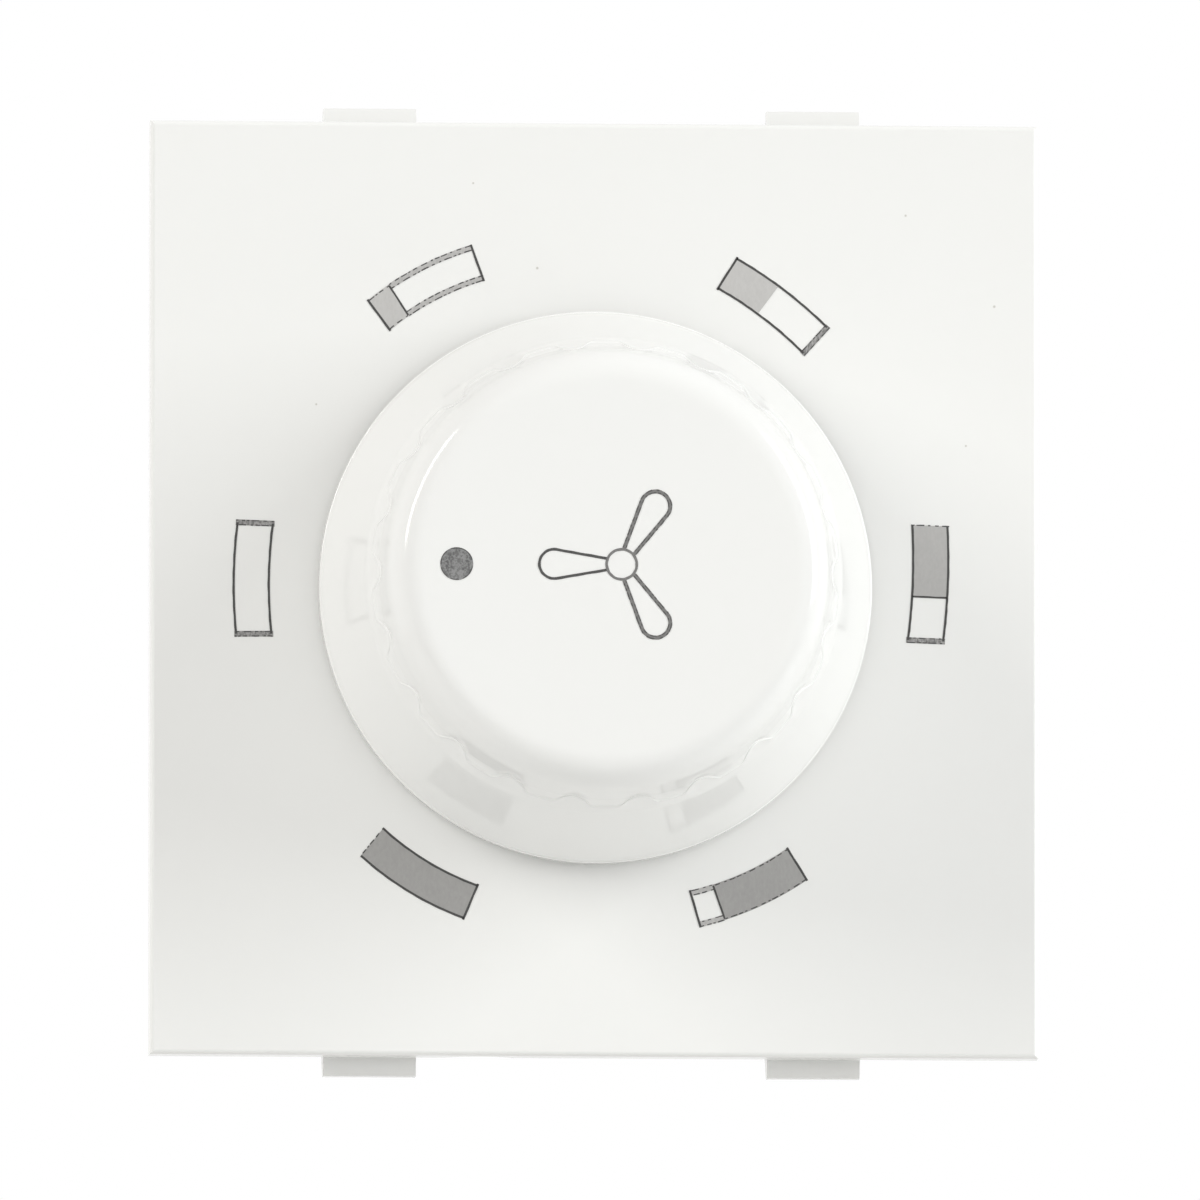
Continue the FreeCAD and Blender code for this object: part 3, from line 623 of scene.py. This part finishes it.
def make_knob():
    """The knob's outer skin, hollow, hub and ribs as one closed moulding."""
    maker = bmesh.new()
    columns = flute_count * columns_per_flute
    first_turn = math.radians(pointer_angle)
    turns = [first_turn + 2 * math.pi * i / columns for i in range(columns)]

    def add_ring(radii, heights):
        places = zip(turns, radii, heights)
        return [maker.verts.new((r * math.cos(t), face_y - h, r * math.sin(t))) for t, r, h in places]

    def level_ring(radii, height):
        return add_ring(radii, [height] * columns)

    def fluted(radius, out=0.0):
        """Radii of a ring with the flutes cut in, and then moved out a little."""
        radii = []
        for i in range(columns):
            step = (i + columns_per_flute // 2) % columns_per_flute - columns_per_flute // 2
            cut = flute_wall(2 * math.pi * step / columns)
            radii.append(softly_less(radius, cut, flute_edge_blend) + out)
        return radii

    layers = [level_ring(fluted(radius), height) for radius, height in grip_section()]
    # The foot: a fine lip round the grip, on the slope that leads down to the skirt
    for out, rise in ((0.0, 0.0), (foot_lip_width, foot_lip_height), (foot_lip_width * 1.4, 0.0)):
        radii = fluted(grip_radius, out)
        heights = [skirt_height + foot_slope * (skirt_top_radius - r) + rise for r in radii]
        layers.append(add_ring(radii, heights))
    layers += [level_ring([radius] * columns, height) for radius, height in skirt_section()]
    bore = [bore_wall(turn) for turn in turns]
    layers += [level_ring(bore, hub_lift), level_ring(bore, upper_hollow_height)]
    for upper, lower in zip(layers, layers[1:]):
        for i in range(columns):
            j = (i + 1) % columns
            maker.faces.new((upper[i], upper[j], lower[j], lower[i]))
    for layer, height in ((layers[0], knob_height), (layers[-1], upper_hollow_height)):
        middle = maker.verts.new((0.0, face_y - height, 0.0))
        for i in range(columns):
            maker.faces.new((layer[i], layer[(i + 1) % columns], middle))
    knob = new_piece("knob_moulding", maker, [knob_plastic()], "knob_body")
    join_ribs(knob)
    smooth(knob, sharp_angle)
    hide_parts("knob")


def join_ribs(knob):
    """Unites the ribs between the hub and the wall with the knob."""
    inner = (bore_radius + hub_radius) / 2
    buried = 0.6
    step_reach = hollow_radius + buried / 2
    wall_reach = upper_hollow_radius + buried
    section = [
        (inner, rib_lift),
        (step_reach, rib_lift),
        (step_reach, hollow_height + buried / 2),
        (wall_reach, hollow_height + buried / 2),
        (wall_reach, upper_hollow_height + buried / 2),
        (inner, upper_hollow_height + buried / 2),
    ]
    maker = bmesh.new()
    for i in range(rib_count):
        turn = math.radians(pointer_angle + i * 360 / rib_count)
        out = Vector((math.cos(turn), 0.0, math.sin(turn)))
        side = Vector((-math.sin(turn), 0.0, math.cos(turn))) * (rib_width / 2)
        faces = []
        for sign in (-1, 1):
            corners = [
                maker.verts.new(out * radius + side * sign + Vector((0.0, face_y - height, 0.0)))
                for radius, height in section
            ]
            faces.append(corners)
            maker.faces.new(corners)
        for a in range(len(section)):
            b = (a + 1) % len(section)
            maker.faces.new((faces[0][a], faces[0][b], faces[1][b], faces[1][a]))
    ribs = new_piece("knob_ribs", maker, [], "knob_body")
    union = knob.modifiers.new("ribs", "BOOLEAN")
    union.operation = "UNION"
    union.solver = "EXACT"
    union.object = ribs
    graph = bpy.context.evaluated_depsgraph_get()
    joined = bpy.data.meshes.new_from_object(knob.evaluated_get(graph))
    knob.modifiers.clear()
    knob.data = joined
    bpy.data.objects.remove(ribs)


def smooth(piece, angle):
    """Smooth shading with edges kept where faces meet more steeply than an angle."""
    piece.data.polygons.foreach_set("use_smooth", [True] * len(piece.data.polygons))
    piece.data.set_sharp_from_angle(angle=math.radians(angle))


# Print


class Print:
    """Ink on one flat face that looks along -Y: strips and filled shapes of a hair's thickness."""

    def __init__(self, name, base_y, materials, body):
        self.name = name
        self.base_y = base_y
        self.materials = materials
        self.body = body
        self.maker = bmesh.new()
        self.count = 0

    def slab(self, outline, ink_index, lift=0.0):
        """A filled convex shape from (x, z) corners."""
        front = self.base_y - ink_height - lift
        rings = []
        for y in (self.base_y, front):
            rings.append([self.maker.verts.new((x, y, z)) for x, z in outline])
        faces = [self.maker.faces.new(ring) for ring in rings]
        for a in range(len(outline)):
            b = (a + 1) % len(outline)
            faces.append(self.maker.faces.new((rings[0][a], rings[0][b], rings[1][b], rings[1][a])))
        for face in faces:
            face.material_index = ink_index

    def strip(self, path, width, ink_index, lift=0.0, offset=0.0, closed=False):
        """A line of a width along (x, z) points, its edges a little uneven."""
        self.count += 1
        points = [Vector(point) for point in path]
        total = len(points)
        sides = []
        for i, point in enumerate(points):
            before = points[i - 1] if i or closed else point
            after = points[(i + 1) % total] if i + 1 < total or closed else point
            way = (after - before).normalized()
            across = Vector((-way.y, way.x))
            wave = line_wobble * math.sin(i * 1.7 + self.count * 2.3)
            wave += line_wobble * 0.6 * math.sin(i * 0.61 + self.count)
            half = width / 2 + wave * 0.5
            middle = point + across * (offset + wave * 0.6)
            sides.append((middle - across * half, middle + across * half))
        front = self.base_y - ink_height - lift
        corners = []
        for low, high in sides:
            places = ((low, self.base_y), (high, self.base_y), (high, front), (low, front))
            corners.append([self.maker.verts.new((x, y, z)) for (x, z), y in places])
        faces = []
        pairs = list(zip(corners, corners[1:])) + ([(corners[-1], corners[0])] if closed else [])
        for first, second in pairs:
            for a in range(4):
                b = (a + 1) % 4
                faces.append(self.maker.faces.new((first[a], first[b], second[b], second[a])))
        if not closed:
            faces.append(self.maker.faces.new(corners[0]))
            faces.append(self.maker.faces.new(corners[-1]))
        for face in faces:
            face.material_index = ink_index

    def done(self):
        """Makes one piece of all the strips and shapes."""
        new_piece(self.name, self.maker, self.materials, self.body)


def along(path, start, end, count=4):
    """A stretch of a path between two distances from its start."""
    points = [Vector(point) for point in path]
    marks = [0.0]
    for first, second in zip(points, points[1:]):
        marks.append(marks[-1] + (second - first).length)
    stretch = []
    for i in range(count + 1):
        goal = min(max(start + (end - start) * i / count, 0.0), marks[-1])
        k = next(k for k in range(1, len(marks)) if goal <= marks[k] + 1e-9)
        share = (goal - marks[k - 1]) / max(marks[k] - marks[k - 1], 1e-9)
        stretch.append(points[k - 1].lerp(points[k], share))
    return stretch


def path_length(path):
    """The length of a path of points."""
    return sum((Vector(b) - Vector(a)).length for a, b in zip(path, path[1:]))


# Places of the inks in a sheet's materials
DARK, GREY, FILL, CLOTTED = 0, 1, 2, 3


def screened(direction):
    """Whether the printing screen breaks up a line that runs at this angle in degrees."""
    return -12.0 <= (direction + 90.0) % 180.0 - 90.0 <= 56.0


def dashes(sheet, path, offset, seed):
    """Dark dashes of uneven length along one edge of a screened line."""
    length = path_length(path)
    start = 0.04
    step = 0
    while start < length - 0.05:
        dash = 0.12 + 0.3 * (0.5 + 0.5 * math.sin(step * 2.1 + seed)) ** 2
        gap = 0.08 + 0.16 * (0.5 + 0.5 * math.sin(step * 1.3 + seed * 1.9))
        end = min(start + dash, length)
        piece = along(path, start, end, 2)
        sheet.strip(piece, dash_width, DARK, lift=0.003, offset=offset)
        start = end + gap
        step += 1


def gauge_line(sheet, path, seed, over_fill=False, core=GREY, shift=0.0):
    """One side of a gauge mark, thin and dark or broad and screened by the way that it runs."""
    way = Vector(path[-1]) - Vector(path[0])
    if not screened(math.degrees(math.atan2(way.y, way.x))):
        sheet.strip(path, line_width, DARK, lift=0.004)
    elif over_fill:
        dashes(sheet, path, 0.0, seed)
    else:
        edge = (screen_width - dash_width) / 2
        sheet.strip(path, screen_width, core, lift=0.001, offset=shift)
        dashes(sheet, path, shift - edge, seed)
        dashes(sheet, path, shift + edge, seed + 1.1)


def gauge_point(mark, share, side):
    """A point of a mark: share from -1 to 1 along it clockwise, side from -1 to 1 outwards."""
    angle, radius, half_length, bend, ends, tilt = mark[:6]
    reach = bend + side * gauge_half_width
    half = half_length + side * gauge_half_width * math.tan(math.radians(ends / 2))
    turn = share * half / reach
    local = Vector((reach * math.sin(turn), reach * math.cos(turn) - bend))
    lean = math.radians(angle + tilt - 90.0)
    middle = math.radians(angle)
    across = local.x * math.cos(lean) - local.y * math.sin(lean)
    up = local.x * math.sin(lean) + local.y * math.cos(lean)
    return (
        gauge_centre[0] + radius * math.cos(middle) + across,
        gauge_centre[1] + radius * math.sin(middle) + up,
    )


def gauge_mark(sheet, mark, bare_boundary, seed):
    """A bent bar, filled clockwise from its anticlockwise end."""
    fill = mark[-1]
    boundary = 2 * fill - 1
    edge = 1 + line_width / 2 / gauge_half_width

    def long_side(start, end, side, count=14):
        """Points along one long side."""
        shares = [start + (end - start) * i / count for i in range(count + 1)]
        return [gauge_point(mark, share, side) for share in shares]

    def crossing(share, overrun=0.0):
        """Points across the mark, a little past its sides."""
        reach = 1 + overrun / gauge_half_width
        return [gauge_point(mark, share, -reach + 2 * reach * i / 6) for i in range(7)]

    steps = 12
    for i in range(steps if fill else 0):
        a = -1 + 2 * fill * i / steps
        b = -1 + 2 * fill * (i + 1) / steps
        corners = [(a, -edge), (a, edge), (b, edge), (b, -edge)]
        sheet.slab([gauge_point(mark, share, side) for share, side in corners], FILL)
    for side in (-1, 1):
        if fill in (0.0, 1.0):
            gauge_line(sheet, long_side(-1, 1, side, 24), seed + side, fill == 1.0)
        else:
            gauge_line(sheet, long_side(-1, boundary, side), seed + side, True)
            bare = long_side(boundary, 1, side)
            gauge_line(sheet, bare, seed + side * 2, shift=-side * screen_inset)
    for share, filled in ((-1, fill > 0), (1, fill == 1.0)):
        gauge_line(sheet, crossing(share, corner_overrun), seed + 3 + share, filled, CLOTTED)
    if 0 < fill < 1 and not bare_boundary:
        sheet.strip(crossing(boundary), line_width * 0.85, DARK, lift=0.004)


def make_gauge_marks(inks):
    """The six marks on the plate."""
    sheet = Print("gauge_marks", face_y, inks, "root")
    for number, mark in enumerate(gauge_marks):
        gauge_mark(sheet, mark, number == bare_boundary_mark, number * 1.37)
    sheet.done()


def circle(centre, radius, count):
    """Evenly spaced points round a centre."""
    turns = [2 * math.pi * i / count for i in range(count)]
    return [(centre[0] + radius * math.cos(t), centre[1] + radius * math.sin(t)) for t in turns]


def fan_blade(angle):
    """The outline of one blade, from the hub round its end and back."""
    turn = math.radians(angle)
    out = Vector((math.cos(turn), math.sin(turn)))
    side = Vector((-math.sin(turn), math.cos(turn)))
    centre = Vector(fan_centre)
    root = math.sqrt((fan_hub_radius + line_width / 2) ** 2 - fan_blade_root_half ** 2)
    start = (root, fan_blade_root_half)
    reach = fan_blade_reach - start[0]
    spread = math.hypot(reach, start[1])
    lean = math.asin(fan_blade_end_radius / spread) - math.atan2(start[1], reach)
    first = 90.0 + math.degrees(lean)
    touch = math.radians(first)
    end_x = fan_blade_reach + fan_blade_end_radius * math.cos(touch)
    end_z = fan_blade_end_radius * math.sin(touch)
    path = []
    for i in range(10):
        share = i / 10
        path.append((start[0] + (end_x - start[0]) * share, start[1] + (end_z - start[1]) * share))
    for bend in arc_steps(22, first, -first):
        end_point = fan_blade_reach + fan_blade_end_radius * math.cos(bend)
        path.append((end_point, fan_blade_end_radius * math.sin(bend)))
    path += [(x, -z) for x, z in reversed(path[:10])]
    return [centre + out * x + side * z for x, z in path]


def make_fan_picture(inks):
    """A hub with three blades, the left one in thinner lines."""
    sheet = Print("fan_picture", knob_top_y, inks, "knob_body")
    sheet.strip(circle(fan_centre, fan_hub_radius, 40), fan_line_width, GREY, closed=True)
    for angle in fan_blade_angles:
        outline = fan_blade(angle)
        if angle == 180:
            sheet.strip(outline, fan_line_width, DARK, lift=0.002)
        else:
            edge = (fan_broad_width - dash_width) / 2
            sheet.strip(outline, fan_broad_width, GREY, lift=0.002)
            dashes(sheet, outline, -edge, angle)
            dashes(sheet, outline, edge, angle + 1)
    sheet.done()


def make_pointer_dot(inks):
    """A filled dot with uneven dark stretches along its edge."""
    sheet = Print("pointer_dot", knob_top_y, inks, "knob_body")
    sheet.slab(circle(dot_centre, dot_radius - 0.03, 48), FILL)
    edge = circle(dot_centre, dot_radius - 0.06, 48)
    for start, end in ((2, 15), (17, 24), (26, 31), (33, 37), (39, 47)):
        sheet.strip(edge[start : end + 1], 0.05, DARK, lift=0.003)
    sheet.done()


# Stage, camera and light


def point_from(centre, azimuth, off_axis, distance):
    """A point seen from a centre at an angle round the knob's axis and an angle off it."""
    turn, lean = math.radians(azimuth), math.radians(off_axis)
    away = Vector(
        (math.sin(lean) * math.cos(turn), -math.cos(lean), math.sin(lean) * math.sin(turn))
    )
    return Vector(centre) + away * distance


def make_lamp(name, tint, azimuth, off_axis, width, height, share):
    """A soft box that gives a share of the plate's light. Its width runs round the knob's axis."""
    data = bpy.data.lights.new(name, "AREA")
    data.shape = "RECTANGLE"
    data.color = tint
    data.size = width * MM
    data.size_y = height * MM
    solid_angle = width * height / lamp_distance ** 2
    radiance = share * math.pi / (solid_angle * math.cos(math.radians(off_axis)))
    data.energy = radiance * width * height * MM * MM * math.pi
    lamp = bpy.data.objects.new(name, data)
    bpy.context.scene.collection.objects.link(lamp)
    place = point_from((0, face_y, 0), azimuth, off_axis, lamp_distance)
    lamp.location = place * MM
    toward = (Vector((0, face_y, 0)) - place).normalized()
    turn = math.radians(azimuth)
    round_axis = Vector((-math.sin(turn), 0.0, math.cos(turn)))
    up = round_axis.cross(toward)
    lamp.rotation_mode = "QUATERNION"
    lamp.rotation_quaternion = matrix_of(round_axis, up, -toward).to_quaternion()


def matrix_of(x_axis, y_axis, z_axis):
    """The rotation whose columns are three directions."""
    return Matrix((x_axis, y_axis, z_axis)).transposed()


def make_world():
    """Light from all round, stronger from above, and plain white where it is seen directly."""
    world = bpy.data.worlds.new("studio")
    world.use_nodes = True
    world.node_tree.nodes.clear()
    bpy.context.scene.world = world
    graph = Graph(world.node_tree)
    tint = colour(1.0, 0.995, 0.985)
    low, high = (
        graph.add("ShaderNodeBackground", {}, {"Color": tint, "Strength": strength})
        for strength in (ambient_low, ambient_high)
    )
    direction = graph.add("ShaderNodeTexCoord", {}, {}, "Generated")
    rise = graph.parts(direction)[2] * 0.5 + 0.5
    ambient = graph.add("ShaderNodeMixShader", {}, {0: rise, 1: low, 2: high})
    white = graph.add("ShaderNodeBackground", {}, {"Color": colour(1.0, 1.0, 1.0)})
    mixed = graph.add("ShaderNodeMixShader", {}, {0: graph.seen_directly(), 1: ambient, 2: white})
    graph.add("ShaderNodeOutputWorld", {}, {"Surface": mixed})


def make_floor():
    """A plain pale floor well below the switch, which hangs in its wall frame."""
    maker = bmesh.new()
    level = plate_low.z - floor_drop
    corners = [(-1, -1), (1, -1), (1, 1), (-1, 1)]
    maker.faces.new(
        [maker.verts.new((x * floor_half * MM, y * floor_half * MM, level * MM)) for x, y in corners]
    )
    mesh = bpy.data.meshes.new("floor")
    maker.to_mesh(mesh)
    maker.free()
    floor = bpy.data.objects.new("floor", mesh)
    bpy.context.scene.collection.objects.link(floor)
    finish = Finish("floor_pale", Roughness=0.9)
    point = finish.place()
    cloud = finish.noise(point, 0.01, 3.0)
    seen = finish.mixed(cloud, colour(0.86, 0.86, 0.86), colour(0.9, 0.9, 0.9))
    below = colour(0.83, 0.83, 0.82)
    finish.feed(Base_Color=finish.mixed(finish.seen_directly(), below, seen))
    mesh.materials.append(finish.material)


def make_camera():
    """The camera in the photo's place, turned to the photo's middle."""
    data = bpy.data.cameras.new("camera")
    data.lens = view_lens
    data.clip_start = 0.1
    data.clip_end = 10.0
    camera = bpy.data.objects.new("camera", data)
    bpy.context.scene.collection.objects.link(camera)
    bpy.context.scene.camera = camera
    turn, rise = math.radians(view_azimuth), math.radians(view_elevation)
    back = Vector(
        (math.sin(turn) * math.cos(rise), -math.cos(turn) * math.cos(rise), math.sin(rise))
    )
    right = Vector((math.cos(turn), math.sin(turn), 0.0))
    up = back.cross(right)
    aim = Vector((0.0, face_y, 0.0)) + right * aim_right + up * aim_up
    camera.location = (aim + back * view_distance) * MM
    camera.rotation_mode = "QUATERNION"
    camera.rotation_quaternion = (-back).to_track_quat("-Z", "Y")


def dress(material, *names):
    """Gives CAD nodes their material."""
    for name in names:
        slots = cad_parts[name].data.materials
        slots.clear()
        slots.append(material)


def dress_nodes():
    """Gives every visible CAD node its finish."""
    brass_strip = brass()
    zinc = zinc_steel()
    dress(plate_plastic(), "front_plate")
    dress(housing_plastic(), "rear_housing")
    dress(spring_steel(), "knob_clip", "detent_spring")
    dress(nylon(), "rotor")
    dress(bronze(), "wiper")
    dress(black_plastic(), "switch_cover", "switch_base")
    dress(laminate(), "circuit_board")
    dress(capacitor_case(), "capacitor_1", "capacitor_2", "capacitor_3")
    dress(zinc, "thrust_washer", "switch_screws")
    dress(brass_strip, "common_contact", *["speed_contact_%d" % i for i in range(1, 6)])
    for side in ("left", "right"):
        dress(brass_strip, "terminal_" + side)
        dress(zinc, "clamp_washer_" + side, "terminal_screw_" + side)
    for node in ("surge_resistor_1", "surge_resistor_2"):
        dress(resistor_body(node, "ceramic", ceramic_half_length, ceramic_tone, 0.6, 0.02), node)
    for node in ("bleed_resistor_1", "bleed_resistor_2", "bleed_resistor_3"):
        dress(resistor_body(node, "lacquer", lacquered_half_length, lacquer_tone, 0.3, 0.004), node)


make_camera()
dress_nodes()
make_knob()
plate_inks = [
    ink("ink_dark", 0.06, 0.0, 0.04, 9.0),
    ink("ink_screened", 0.47, 0.0, 0.22, 7.0),
    ink("ink_grey", 0.44, 0.0057, 0.08, 5.0),
    ink("ink_clotted", 0.27, 0.0, 0.7, 6.0),
]
knob_inks = [
    ink("ink_line", 0.075, 0.0, 0.09, 8.0),
    ink("ink_mid", 0.19, 0.0, 0.16, 8.0),
    dot_ink(),
]
make_gauge_marks(plate_inks)
make_fan_picture(knob_inks)
make_pointer_dot(knob_inks)
make_world()
make_floor()
make_lamp("lamp_left", left_tint, **left_lamp)
make_lamp("lamp_right", right_tint, **right_lamp)
bpy.context.scene.view_settings.view_transform = "Standard"
